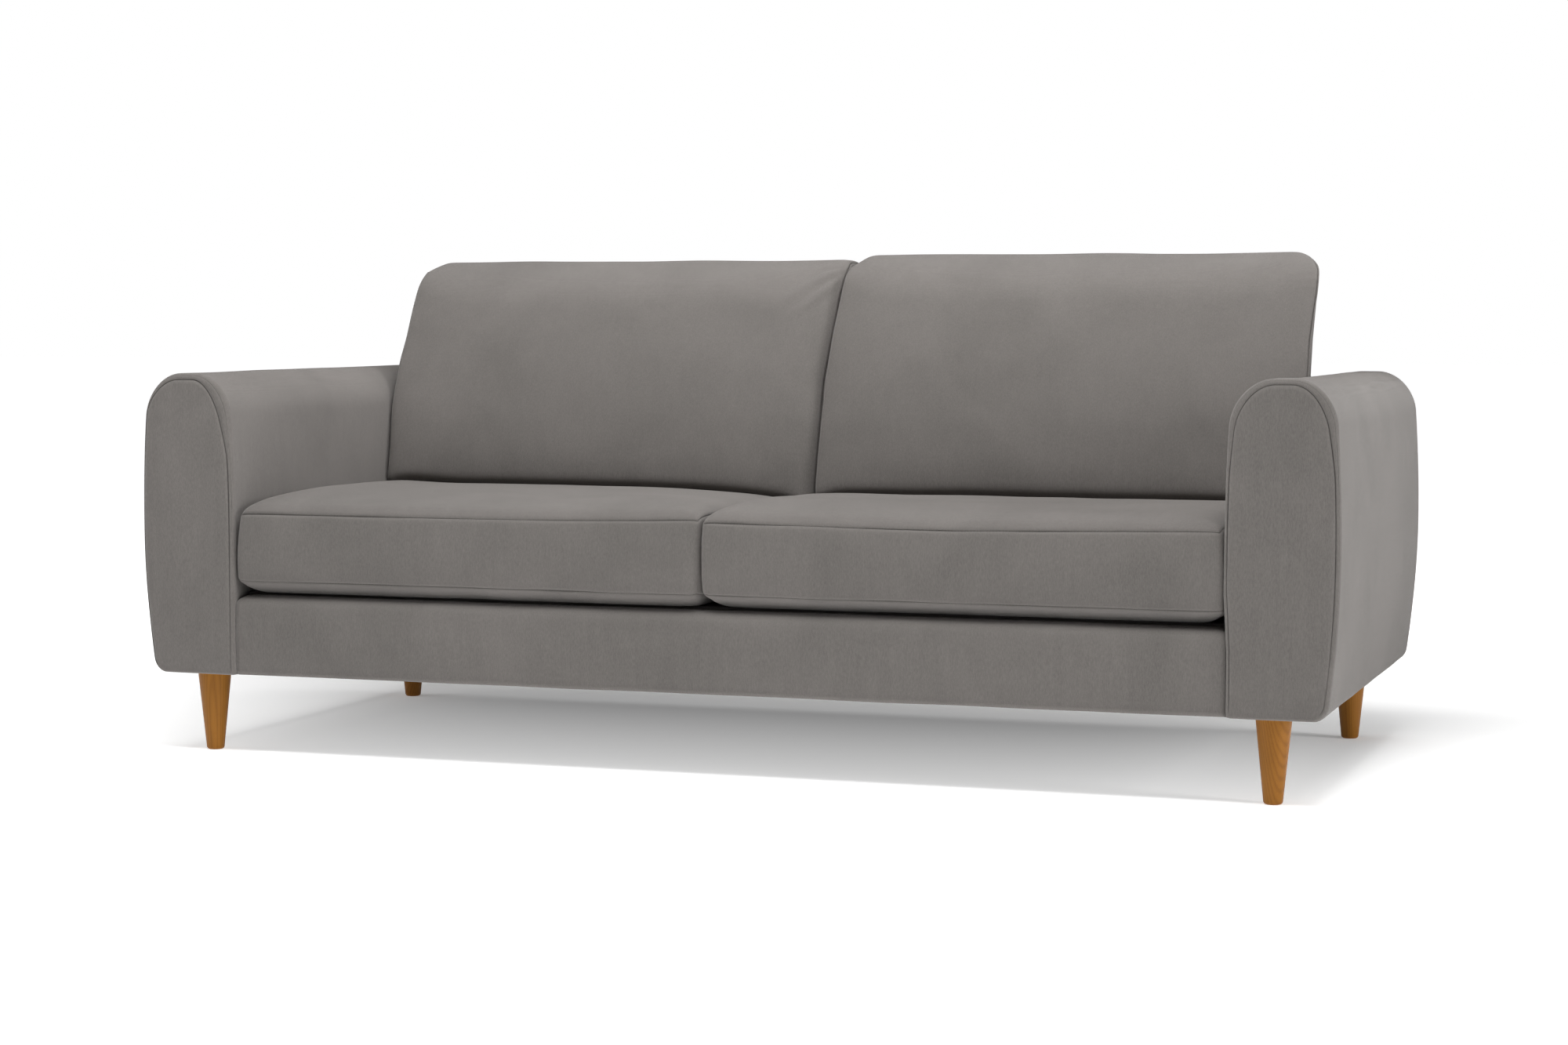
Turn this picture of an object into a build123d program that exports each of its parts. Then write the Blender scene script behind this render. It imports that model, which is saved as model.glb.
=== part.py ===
import os
from math import cos, radians, sin, sqrt, tan

from build123d import *

os.makedirs("parts", exist_ok=True)

# The sofa stands on Z = 0 with its front towards -Y. X runs along its width, and the origin is on
# the floor under its middle. "Left" is the side at -X. All sizes are in millimetres.

# Overall form
sofa_width = 2090
sofa_depth = 908
body_bottom = 138
arm_width = 177
arm_height = 663
arm_bulge_height = 400
arm_foot_tuck = 19
arm_shoulder_tuck = 20
arm_crown_radius = 76
arm_foot_radius = 22
arm_edge_roll = 8

# Materials
fabric = 2.0
lining = 1.5
foam = 20
strap = 2.0
board = 22
ply = 18
panel = 12
hardboard = 4
fit_gap = 0.3
cushion_gap = 0.7

# Seat box
box_height = 142
rail_setback = 8
rail_roll = 20
rail_pad = 6
rail_lip = 46
rail_drop = 3
deck_pad_thickness = 15
corner_block = 60
inner_rail_share = 0.5
seat_strap_width = 60
seat_strap_count = 10

# Back frame
back_height = 805
back_lean = 5.7
back_setback = 4
lumbar_depth = 98
back_taper = 16
back_edge_radius = 18
post_width = 40
post_depth = 30
top_rail_height = 45
back_strap_width = 60
back_strap_count = 5

# Seat cushions
cushion_side_gap = 2
cushion_split = 2
seat_roll = 22
seat_border = 118
seat_crown = 37
seat_rear_gap = 9
seat_puff = 3
edge_wadding = 30

# Back cushions
cushion_top = 868
cushion_recline = 17.5
back_cushion_depth = 215
back_puff = 14

# Legs and their studs
leg_top_diameter = 58
leg_foot_diameter = 30
leg_inset = 109
leg_front_inset = 51
leg_rear_inset = 67
stud_diameter = 8
stud_clearance = 0.2
stud_depth = 50
stud_plate = 45
stud_plate_thickness = 4

# Places that follow from the sizes above
half_width = sofa_width / 2
bay_half = half_width - arm_width
front_y = -sofa_depth / 2
rear_y = sofa_depth / 2
deck_height = body_bottom + box_height
skin = fabric + fit_gap

arm_board_low = body_bottom + skin
arm_board_top = arm_board_low + board
arm_core_inset = skin + foam + fit_gap
arm_frame_low = arm_board_top + fit_gap
arm_frame_front = front_y + skin
arm_frame_rear = rear_y - skin
arm_rail_height = arm_crown_radius / 2

box_half = bay_half - fit_gap
rail_cover_front = front_y + rail_setback
rail_cover_rear = rail_cover_front + rail_lip
rail_cover_top = deck_height - rail_drop
rail_low = body_bottom + skin + lining + fit_gap
rail_front = rail_cover_front + skin + rail_pad + fit_gap
deck_low = deck_height - fabric
deck_pad_low = deck_low - fit_gap - deck_pad_thickness
strap_low = deck_pad_low - fit_gap - strap
rail_top = strap_low - fit_gap
outside_back = rear_y - back_setback
post_rear = outside_back - skin
post_front = post_rear - post_depth
rear_rail_rear = post_front - fit_gap
rear_rail_front = rear_rail_rear - board
side_rail_inner = box_half - board

back_low = deck_height + skin
lumbar_y = outside_back - lumbar_depth
lean_slope = tan(radians(back_lean))
back_strap_front = post_front - fit_gap - strap
top_rail_low = back_height - back_edge_radius - top_rail_height

cushion_width = bay_half - cushion_side_gap - cushion_split / 2
cushion_middle = (cushion_split + cushion_width) / 2
seat_front = rail_cover_front
seat_rear = lumbar_y - seat_rear_gap
seat_low = deck_height + cushion_gap
roll_tuck = 0.65 * seat_roll
lower_seam = seat_low + seat_roll
upper_seam = lower_seam + seat_border
seat_middle = (seat_front + seat_rear) / 2
seat_half_depth = (seat_rear - seat_front) / 2
crown_radius = (seat_half_depth**2 + seat_crown**2) / (2 * seat_crown)
crease_y = lumbar_y - back_cushion_depth
crease_reach = sqrt(crown_radius**2 - (crease_y - seat_middle) ** 2)
crease_slope = -(crease_y - seat_middle) / crease_reach
crease_height = upper_seam + seat_crown - crown_radius + crease_reach + cushion_gap
recline_slope = tan(radians(cushion_recline))

leg_x = half_width - leg_inset
leg_places = {
    "front_left": (-leg_x, front_y + leg_front_inset),
    "front_right": (leg_x, front_y + leg_front_inset),
    "rear_left": (-leg_x, rear_y - leg_rear_inset),
    "rear_right": (leg_x, rear_y - leg_rear_inset),
}
sides = {"left": -1, "right": 1}


def save(builder, name):
    builder.part.label = name
    export_step(builder.part, f"parts/{name}.step")


def upright(y):
    """The plane across the sofa at a given depth; an extrusion from it runs towards the front."""
    return Plane.XZ.offset(-y)


def arm_outline(side, inset, y):
    """The arched section of an arm, drawn in by an inset from the outside of its cover."""
    inner_x = side * bay_half
    shoulder_x = side * (half_width - arm_shoulder_tuck)
    foot_x = side * (half_width - arm_foot_tuck)
    with BuildSketch(upright(y)) as outline:
        with BuildLine():
            Line((inner_x, body_bottom), (inner_x, arm_height))
            Line((inner_x, arm_height), (shoulder_x, arm_height))
            ThreePointArc(
                (shoulder_x, arm_height),
                (side * half_width, arm_bulge_height),
                (foot_x, body_bottom),
            )
            Line((foot_x, body_bottom), (inner_x, body_bottom))
        make_face()
        fillet(outline.vertices().group_by(Axis.Y)[-1], arm_crown_radius)
        foot = outline.vertices().group_by(Axis.Y)[0].sort_by(Axis.X)
        fillet(foot[-1] if side > 0 else foot[0], arm_foot_radius)
        if inset:
            offset(amount=-inset)
    return outline.sketch


def arm_slice(side, inset, y, low, high):
    """The part of the arm section that lies between two heights."""
    with BuildSketch(upright(y)) as outline:
        with Locations((side * half_width, (low + high) / 2)):
            Rectangle(2 * arm_width, high - low)
    return outline.sketch & arm_outline(side, inset, y)


def arm_block(side):
    """A solid arm with its front edge eased back to the seam round the front panel."""
    with BuildPart() as block:
        extrude(arm_outline(side, 0, rear_y), amount=sofa_depth)
        chamfer(block.edges().group_by(Axis.Y)[0], arm_edge_roll)
    return block.part


def rail_section(inset, x):
    """The upright section of the front rail's upholstery, with its rounded top edge."""
    low = body_bottom + inset
    top = rail_cover_top - inset
    front = rail_cover_front + inset
    with BuildSketch(Plane.YZ.offset(x)) as outline:
        with BuildLine():
            Polyline(
                (front, low),
                (front, top),
                (rail_cover_rear, top),
                (rail_cover_rear, low),
                close=True,
            )
        make_face()
        corner = outline.vertices().group_by(Axis.Y)[-1].sort_by(Axis.X)[0]
        fillet(corner, rail_roll - inset)
    return outline.sketch


def back_block(inset):
    """The upholstered back: wedge-shaped from the side, tapering above the arms."""
    low = back_low + inset
    top = back_height - inset
    front_low = lumbar_y + inset
    front_top = front_low + (top - low) * lean_slope
    rear = outside_back - inset
    step = rear_rail_rear + inset
    with BuildSketch(Plane.YZ.offset(-half_width)) as profile:
        with BuildLine():
            Polyline(
                (front_low, low),
                (front_top, top),
                (rear, top),
                (rear, body_bottom),
                (step, body_bottom),
                (step, low),
                close=True,
            )
        make_face()
        fillet(profile.vertices().group_by(Axis.Y)[-1], back_edge_radius - inset)
    # the slanting ends are drawn past the top and past both faces, so that they cut right through
    half_low = box_half - inset
    half_high = half_low - 2 * back_taper
    high = 2 * back_height - arm_height
    with BuildSketch(upright(sofa_depth)) as outline:
        with BuildLine():
            Polyline(
                (-half_low, 0),
                (-half_low, arm_height),
                (-half_high, high),
                (half_high, high),
                (half_low, arm_height),
                (half_low, 0),
                close=True,
            )
        make_face()
    with BuildPart() as block:
        extrude(profile.sketch, amount=sofa_width)
        extrude(outline.sketch, amount=2 * sofa_depth, mode=Mode.INTERSECT)
    return block.part


def seat_section(x, draw, crown):
    """An upright slice of a seat cushion; draw takes in its front and rear towards a corner."""
    front = seat_front + draw
    rear = seat_rear - draw
    middle = (lower_seam + upper_seam) / 2
    roll = (front + roll_tuck / 5, seat_low + 0.45 * seat_roll)
    with BuildSketch(Plane.YZ.offset(x)) as outline:
        with BuildLine():
            Line((rear, seat_low), (front + roll_tuck, seat_low))
            ThreePointArc((front + roll_tuck, seat_low), roll, (front, lower_seam))
            ThreePointArc((front, lower_seam), (front - seat_puff, middle), (front, upper_seam))
            ThreePointArc((front, upper_seam), (seat_middle, upper_seam + crown), (rear, upper_seam))
            Line((rear, upper_seam), (rear, seat_low))
        make_face()
    return outline.sketch


def back_corners(inset):
    """The four corners of a back cushion's section: low front, top front, top rear and low rear."""
    bottom = crease_height + inset
    top = cushion_top - inset
    front_low = crease_y + inset
    front_top = front_low + (top - bottom) * recline_slope
    rear_offset = lumbar_y - cushion_gap - inset - back_low * lean_slope
    # the underside follows the slope of the seat cushion's crown at the crease
    rear_bottom = bottom + (rear_offset + bottom * lean_slope - front_low) * crease_slope
    return (
        (front_low, bottom),
        (front_top, top),
        (rear_offset + top * lean_slope, top),
        (rear_offset + rear_bottom * lean_slope, rear_bottom),
    )


def back_section(x, draw, puff):
    """An upright slice of a back cushion, leaning on the back and resting on the seat cushion."""
    low_front, top_front, top_rear, low_rear = back_corners(draw)
    roll = top_rear[0] - top_front[0]
    middle_y = (low_front[0] + top_front[0]) / 2 - puff * cos(radians(cushion_recline))
    middle_z = (low_front[1] + top_front[1]) / 2 + puff * sin(radians(cushion_recline))
    with BuildSketch(Plane.YZ.offset(x)) as outline:
        with BuildLine():
            ThreePointArc(low_front, (middle_y, middle_z), top_front)
            Polyline(top_front, top_rear, low_rear, low_front)
        make_face()
        upper = outline.vertices().group_by(Axis.Y)[-1].sort_by(Axis.X)
        fillet(upper[0], 0.5 * roll)
        fillet(outline.vertices().sort_by(Axis.X)[-1], 0.3 * roll)
        fillet(outline.vertices().sort_by(Axis.X)[0], 0.1 * roll)
    return outline.sketch


# How far along a cushion's width each slice lies, how much its edges are drawn in there and what
# share of the full crown it has
cushion_slices = (
    (0, 12, 0.3),
    (0.06, 6, 0.5),
    (0.2, 2, 0.8),
    (0.5, 0, 1),
    (0.8, 2, 0.8),
    (0.94, 6, 0.5),
    (1, 12, 0.3),
)


def cushion_block(side, section, rise):
    """A seat or back cushion lofted through its slices from one end to the other."""
    slices = []
    for share, draw, crown in cushion_slices:
        x = side * (cushion_split / 2 + share * cushion_width)
        slices.append(section(x, draw, rise * crown))
    with BuildPart() as block:
        loft(slices, ruled=True)
    return block.part


def seat_core_block(side, inset):
    """The plain foam slab inside a seat cushion."""
    front = seat_front + edge_wadding + inset
    rear = seat_rear - edge_wadding - inset
    low = seat_low + fabric + inset
    high = upper_seam - inset
    with BuildPart() as block:
        with Locations((side * cushion_middle, (front + rear) / 2, (low + high) / 2)):
            Box(cushion_width - 2 * (fabric + inset), rear - front, high - low)
    return block.part


def back_core_block(side, inset):
    """The plain wedge of filling inside a back cushion."""
    with BuildPart() as block:
        with BuildSketch(Plane.YZ.offset(side * (cushion_split / 2 + fabric + inset))):
            with BuildLine():
                Polyline(*back_corners(edge_wadding + inset), close=True)
            make_face()
        extrude(amount=side * (cushion_width - 2 * (fabric + inset)))
    return block.part


# Legs: turned and tapered, each with a hole on top for its stud
for place, (x, y) in leg_places.items():
    with BuildPart() as leg:
        with BuildSketch(upright(y)):
            with BuildLine():
                Polyline(
                    (x, 0),
                    (x + leg_foot_diameter / 2, 0),
                    (x + leg_top_diameter / 2, body_bottom - fit_gap),
                    (x, body_bottom - fit_gap),
                    close=True,
                )
            make_face()
        revolve(axis=Axis((x, y, 0), (0, 0, 1)))
        with BuildSketch(Plane.XY.offset(body_bottom)):
            with Locations((x, y)):
                Circle(stud_diameter / 2 + stud_clearance)
        extrude(amount=-stud_depth - fit_gap, mode=Mode.SUBTRACT)
    save(leg, f"leg_{place}")

# Each stud hangs from a plate on the board inside the arm and screws into a leg
with BuildPart() as leg_studs:
    with BuildSketch(Plane.XY.offset(arm_frame_low)):
        with Locations(*leg_places.values()):
            Rectangle(stud_plate, stud_plate)
    extrude(amount=stud_plate_thickness)
    with BuildSketch(Plane.XY.offset(body_bottom - stud_depth)):
        with Locations(*leg_places.values()):
            Circle(stud_diameter / 2)
    extrude(amount=arm_frame_low - body_bottom + stud_depth)
save(leg_studs, "leg_studs")

# Arms: cover, sewn front panel and padding over a timber frame
for name, side in sides.items():
    arm_legs = [spot for spot in leg_places.values() if spot[0] * side > 0]

    with BuildPart() as arm_cover:
        add(arm_block(side))
        extrude(
            arm_outline(side, fabric, rear_y - fabric),
            amount=sofa_depth - fabric - arm_edge_roll,
            mode=Mode.SUBTRACT,
        )
        extrude(
            arm_outline(side, arm_edge_roll, 0),
            amount=sofa_depth,
            mode=Mode.SUBTRACT,
        )
        # slits in the underside let the studs through
        with BuildSketch(Plane.XY):
            with Locations(*arm_legs):
                Rectangle(stud_diameter + 2 * fit_gap, stud_diameter + 2 * fit_gap)
        extrude(amount=arm_board_low, mode=Mode.SUBTRACT)
    save(arm_cover, f"arm_cover_{name}")

    with BuildPart() as arm_front_panel:
        extrude(arm_outline(side, arm_edge_roll + fit_gap, front_y + fabric), amount=fabric)
    save(arm_front_panel, f"arm_front_panel_{name}")

    padding_depth = arm_frame_rear - front_y - arm_edge_roll - fit_gap
    with BuildPart() as arm_padding:
        extrude(
            arm_slice(side, skin, arm_frame_rear, arm_frame_low, arm_height),
            amount=padding_depth,
        )
        extrude(arm_outline(side, skin + foam, rear_y), amount=sofa_depth, mode=Mode.SUBTRACT)
    save(arm_padding, f"arm_padding_{name}")

    with BuildPart() as arm_bottom_board:
        extrude(
            arm_slice(side, skin, arm_frame_rear, arm_board_low, arm_board_top),
            amount=padding_depth,
        )
        with BuildSketch(Plane.XY):
            with Locations(*arm_legs):
                Circle(stud_diameter / 2 + fit_gap)
        extrude(amount=arm_height, mode=Mode.SUBTRACT)
    save(arm_bottom_board, f"arm_bottom_board_{name}")

    with BuildPart() as arm_front_profile:
        extrude(
            arm_slice(side, arm_core_inset, arm_frame_front + ply, arm_frame_low, arm_height),
            amount=ply,
        )
    save(arm_front_profile, f"arm_front_profile_{name}")

    with BuildPart() as arm_rear_profile:
        extrude(
            arm_slice(side, arm_core_inset, arm_frame_rear, arm_frame_low, arm_height),
            amount=ply,
        )
    save(arm_rear_profile, f"arm_rear_profile_{name}")

    span_rear = arm_frame_rear - ply - fit_gap
    span = span_rear - (arm_frame_front + ply + fit_gap)
    rail_underside = arm_height - arm_core_inset - arm_rail_height
    with BuildPart() as arm_top_rail:
        extrude(
            arm_slice(side, arm_core_inset, span_rear, rail_underside, arm_height),
            amount=span,
        )
    save(arm_top_rail, f"arm_top_rail_{name}")

    panel_top = arm_height - arm_crown_radius - fit_gap
    panel_height = panel_top - arm_frame_low
    with BuildPart() as arm_inner_panel:
        with BuildSketch(upright(span_rear)):
            with Locations((side * (bay_half + arm_core_inset + panel / 2), panel_top - panel_height / 2)):
                Rectangle(panel, panel_height)
        extrude(amount=span)
    save(arm_inner_panel, f"arm_inner_panel_{name}")

    with BuildPart() as arm_outer_panel:
        extrude(
            arm_slice(side, arm_core_inset, span_rear, arm_frame_low, panel_top),
            amount=span,
        )
        extrude(
            arm_outline(side, arm_core_inset + hardboard, rear_y),
            amount=sofa_depth,
            mode=Mode.SUBTRACT,
        )
        with Locations((side * bay_half, 0, arm_height / 2)):
            Box(arm_width, sofa_depth, arm_height, mode=Mode.SUBTRACT)
        with Locations((side * half_width, 0, 0)):
            Box(2 * arm_width, sofa_depth, 2 * (arm_frame_low + foam), mode=Mode.SUBTRACT)
    save(arm_outer_panel, f"arm_outer_panel_{name}")

# Seat box: front and rear rails, side rails, a centre rail and corner blocks
rail_middle = (rail_low + rail_top) / 2
rail_height = rail_top - rail_low
inside_front = rail_front + board + fit_gap
inside_rear = rear_rail_front - fit_gap
inside_middle = (inside_front + inside_rear) / 2
inside_depth = inside_rear - inside_front
inner_rail_height = inner_rail_share * rail_height

with BuildPart() as front_rail:
    with Locations((0, rail_front + board / 2, rail_middle)):
        Box(2 * box_half, board, rail_height)
save(front_rail, "front_rail")

with BuildPart() as rear_rail:
    with Locations((0, rear_rail_front + board / 2, rail_middle)):
        Box(2 * box_half, board, rail_height)
save(rear_rail, "rear_rail")

for name, side in sides.items():
    with BuildPart() as side_rail:
        with Locations((side * (side_rail_inner + board / 2), inside_middle, rail_middle)):
            Box(board, inside_depth, rail_height)
    save(side_rail, f"side_rail_{name}")

with BuildPart() as centre_rail:
    with Locations((0, inside_middle, rail_low + inner_rail_height / 2)):
        Box(board, inside_depth, inner_rail_height)
save(centre_rail, "centre_rail")

with BuildPart() as corner_blocks:
    with BuildSketch(Plane.XY.offset(rail_low)):
        for side in sides.values():
            for y, turn in ((inside_front, 1), (inside_rear, -1)):
                corner_x = side * (side_rail_inner - fit_gap)
                with BuildLine():
                    Polyline(
                        (corner_x, y),
                        (corner_x - side * corner_block, y),
                        (corner_x, y + turn * corner_block),
                        close=True,
                    )
                make_face()
    extrude(amount=inner_rail_height)
save(corner_blocks, "corner_blocks")

# Seat suspension and deck
with BuildPart() as seat_webbing:
    with BuildSketch(Plane.XY.offset(strap_low)):
        with Locations((0, (rail_front + rear_rail_rear) / 2)):
            with GridLocations(2 * box_half / seat_strap_count, 1, seat_strap_count, 1):
                Rectangle(seat_strap_width, rear_rail_rear - rail_front)
    extrude(amount=strap)
save(seat_webbing, "seat_webbing")

deck_front = rail_cover_rear + fit_gap
deck_depth = rear_rail_rear - deck_front
with BuildPart() as deck_pad:
    with Locations((0, deck_front + deck_depth / 2, deck_pad_low + deck_pad_thickness / 2)):
        Box(2 * box_half, deck_depth, deck_pad_thickness)
save(deck_pad, "deck_pad")

with BuildPart() as deck_cover:
    with Locations((0, deck_front + deck_depth / 2, deck_low + fabric / 2)):
        Box(2 * box_half, deck_depth, fabric)
save(deck_cover, "deck_cover")

# Front rail upholstery: a pad over the timber and a cover with a rounded top edge
with BuildPart() as front_rail_pad:
    extrude(rail_section(skin, -box_half), amount=2 * box_half)
    with BuildSketch(Plane.YZ.offset(-half_width)):
        with BuildLine():
            Polyline(
                (rail_front - fit_gap, 0),
                (rail_front - fit_gap, strap_low + strap + fit_gap),
                (0, strap_low + strap + fit_gap),
                (0, 0),
                close=True,
            )
        make_face()
    extrude(amount=sofa_width, mode=Mode.SUBTRACT)
save(front_rail_pad, "front_rail_pad")

with BuildPart() as front_rail_cover:
    extrude(rail_section(0, -box_half), amount=2 * box_half)
    extrude(rail_section(fabric, -half_width), amount=sofa_width, mode=Mode.SUBTRACT)
save(front_rail_cover, "front_rail_cover")

with BuildPart() as dust_cover:
    with Locations((0, (rail_front + post_rear) / 2, rail_low - fit_gap - lining / 2)):
        Box(2 * box_half, post_rear - rail_front, lining)
save(dust_cover, "dust_cover")

# Back frame: three posts fixed to the rear rail, a top rail, webbing and padding
post_places = {
    "left": -(box_half - board - post_width),
    "centre": 0,
    "right": box_half - board - post_width,
}
post_top = top_rail_low - fit_gap
for name, x in post_places.items():
    with BuildPart() as back_post:
        with Locations((x, post_front + post_depth / 2, (rail_low + post_top) / 2)):
            Box(post_width, post_depth, post_top - rail_low)
    save(back_post, f"back_post_{name}")

with BuildPart() as back_top_rail:
    with Locations((0, post_front + post_depth / 2, top_rail_low + top_rail_height / 2)):
        Box(2 * (box_half - board - post_width / 2), post_depth, top_rail_height)
save(back_top_rail, "back_top_rail")

back_strap_span = post_top - back_low - back_strap_width
with BuildPart() as back_webbing:
    with BuildSketch(upright(back_strap_front + strap)):
        with Locations((0, (post_top + back_low) / 2)):
            with GridLocations(1, back_strap_span / (back_strap_count - 1) - fit_gap, 1, back_strap_count):
                Rectangle(2 * (box_half - board - post_width / 2), back_strap_width)
    extrude(amount=strap)
save(back_webbing, "back_webbing")

with BuildPart() as back_padding:
    add(back_block(skin))
    with Locations((0, back_strap_front - fit_gap + sofa_depth / 2, back_height / 2)):
        Box(sofa_width, sofa_depth, 2 * back_height, mode=Mode.SUBTRACT)
save(back_padding, "back_padding")

# Back covers: the inside cover runs up the front, over the top and round the ends
inside_rear_edge = outside_back - fabric
with BuildPart() as inside_back_cover:
    add(back_block(0))
    add(back_block(fabric), mode=Mode.SUBTRACT)
    with Locations((0, inside_rear_edge - fit_gap + sofa_depth / 2, 0)):
        Box(sofa_width, sofa_depth, 3 * back_height, mode=Mode.SUBTRACT)
    with Locations((0, back_strap_front - fit_gap + sofa_depth / 2, (back_low + skin) / 2)):
        Box(sofa_width, sofa_depth, back_low + skin, mode=Mode.SUBTRACT)
save(inside_back_cover, "inside_back_cover")

with BuildPart() as outside_back_cover:
    add(back_block(0))
    with Locations((0, inside_rear_edge - sofa_depth / 2, 0)):
        Box(sofa_width, sofa_depth, 3 * back_height, mode=Mode.SUBTRACT)
save(outside_back_cover, "outside_back_cover")

# Loose cushions: a wadded fabric cover round a core
for name, side in sides.items():
    with BuildPart() as seat_cushion_cover:
        add(cushion_block(side, seat_section, seat_crown))
        add(seat_core_block(side, 0), mode=Mode.SUBTRACT)
    save(seat_cushion_cover, f"seat_cushion_cover_{name}")

    with BuildPart() as seat_cushion_core:
        add(seat_core_block(side, fit_gap))
    save(seat_cushion_core, f"seat_cushion_core_{name}")

    with BuildPart() as back_cushion_cover:
        add(cushion_block(side, back_section, back_puff))
        add(back_core_block(side, 0), mode=Mode.SUBTRACT)
    save(back_cushion_cover, f"back_cushion_cover_{name}")

    with BuildPart() as back_cushion_core:
        add(back_core_block(side, fit_gap))
    save(back_cushion_core, f"back_cushion_core_{name}")
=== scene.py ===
import math

import bmesh
import bpy
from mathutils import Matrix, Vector, noise
from mathutils.bvhtree import BVHTree


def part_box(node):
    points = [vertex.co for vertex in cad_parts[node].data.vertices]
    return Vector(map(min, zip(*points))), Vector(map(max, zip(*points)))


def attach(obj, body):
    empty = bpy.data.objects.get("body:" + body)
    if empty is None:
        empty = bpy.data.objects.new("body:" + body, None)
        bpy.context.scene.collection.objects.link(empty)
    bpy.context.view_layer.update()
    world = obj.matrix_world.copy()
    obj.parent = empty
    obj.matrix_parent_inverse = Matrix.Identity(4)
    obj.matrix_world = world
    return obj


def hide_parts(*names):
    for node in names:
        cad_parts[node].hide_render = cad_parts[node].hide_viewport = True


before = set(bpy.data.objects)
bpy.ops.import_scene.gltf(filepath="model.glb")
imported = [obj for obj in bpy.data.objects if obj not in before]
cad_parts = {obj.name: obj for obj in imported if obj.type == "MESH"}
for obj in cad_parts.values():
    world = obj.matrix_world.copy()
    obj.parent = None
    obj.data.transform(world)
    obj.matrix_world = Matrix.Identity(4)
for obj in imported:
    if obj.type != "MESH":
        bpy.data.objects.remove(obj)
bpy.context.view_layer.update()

# The hidden frame is sawn softwood: rails, posts and boards glued and screwed together, with
# plywood profiles in the arms. The grain of each piece runs along its length.


class Shade:
    """A value in a material. Python operators on it add Math nodes, and node() adds any other."""

    def __init__(self, tree, socket=None):
        self.tree = tree
        self.socket = socket

    def node(self, kind, settings, inputs, output=0):
        made = self.tree.nodes.new(kind)
        for name, value in settings.items():
            setattr(made, name, value)
        for name, value in inputs.items():
            if isinstance(value, Shade):
                self.tree.links.new(value.socket, made.inputs[name])
            else:
                made.inputs[name].default_value = value
        return Shade(self.tree, made.outputs[output])

    def output(self, name):
        return Shade(self.tree, self.socket.node.outputs[name])

    def math(self, operation, *values):
        return self.node("ShaderNodeMath", {"operation": operation}, dict(enumerate(values)))

    def mix(self, low, high):
        low, high = (c if isinstance(c, Shade) else (*c, 1) for c in (low, high))
        colours = {"data_type": "RGBA", "clamp_factor": True}
        return self.node("ShaderNodeMix", colours, {0: self, 6: low, 7: high}, 2)

    def __add__(self, other):
        return self.math("ADD", self, other)

    def __sub__(self, other):
        return self.math("SUBTRACT", self, other)

    def __mul__(self, other):
        return self.math("MULTIPLY", self, other)

    __radd__ = __add__


def new_finish(name):
    """A new material, a Shade to build its values with, and its place on the surface."""
    material = bpy.data.materials.new(name)
    material.use_nodes = True
    shade = Shade(material.node_tree)
    return material, shade, shade.node("ShaderNodeTexCoord", {}, {}, "Object")


def set_shader(material, values):
    """Sets or links the sockets of a material's shader."""
    shader = material.node_tree.nodes["Principled BSDF"]
    for name, value in values.items():
        if isinstance(value, Shade):
            material.node_tree.links.new(value.socket, shader.inputs[name])
        else:
            shader.inputs[name].default_value = value


def stretched_noise(shade, place, scale, detail):
    """Noise between 0 and 1 that is drawn out along the axis with the smallest scale."""
    spot = shade.node("ShaderNodeMapping", {}, {"Vector": place, "Scale": scale})
    return shade.node("ShaderNodeTexNoise", {}, {"Vector": spot, "Scale": 1.0, "Detail": detail})


def bump(shade, height, depth, strength):
    """The normal of a surface with a fine relief of that depth in metres."""
    return shade.node(
        "ShaderNodeBump", {}, {"Height": height, "Distance": depth, "Strength": strength}
    )


def sawn_timber(name, grain_scale, pale, dark):
    material, shade, place = new_finish(name)
    rings = stretched_noise(shade, place, grain_scale, 3.0)
    finer_scale = tuple(saw_mark_fineness * s for s in grain_scale)
    saw_marks = stretched_noise(shade, place, finer_scale, 2.0)
    tone = rings * ring_weight + saw_marks * saw_mark_weight - timber_paleness
    set_shader(material, {
        "Base Color": tone.mix(pale, dark),
        "Roughness": 0.62 + saw_marks * 0.3,
        "Normal": bump(shade, saw_marks, saw_mark_depth, 0.5),
    })
    return material


def dress(node, material):
    """Gives a CAD node its finish."""
    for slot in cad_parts[node].material_slots:
        slot.material = material


softwood_pale = (0.60, 0.42, 0.22)
softwood_dark = (0.42, 0.25, 0.11)
board_pale = (0.44, 0.30, 0.16)
board_dark = (0.30, 0.18, 0.08)
ring_weight = 1.4
saw_mark_weight = 0.4
timber_paleness = 0.4
saw_mark_fineness = 9
saw_mark_depth = 0.0006
timber_along_width = sawn_timber("softwood_along_width", (3, 70, 70), softwood_pale, softwood_dark)
timber_along_depth = sawn_timber("softwood_along_depth", (70, 3, 70), softwood_pale, softwood_dark)
timber_upright = sawn_timber("softwood_upright", (70, 70, 3), softwood_pale, softwood_dark)
sheet_board = sawn_timber("pressed_board", (160, 160, 160), board_pale, board_dark)

for node in ("front_rail", "rear_rail", "back_top_rail", "corner_blocks"):
    dress(node, timber_along_width)
dress("centre_rail", timber_along_depth)
for post in ("left", "centre", "right"):
    dress(f"back_post_{post}", timber_upright)
for side in ("left", "right"):
    dress(f"side_rail_{side}", timber_along_depth)
    dress(f"arm_bottom_board_{side}", timber_along_depth)
    dress(f"arm_top_rail_{side}", timber_along_depth)
    dress(f"arm_front_profile_{side}", timber_upright)
    dress(f"arm_rear_profile_{side}", timber_upright)
    dress(f"arm_inner_panel_{side}", sheet_board)
    dress(f"arm_outer_panel_{side}", sheet_board)

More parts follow.
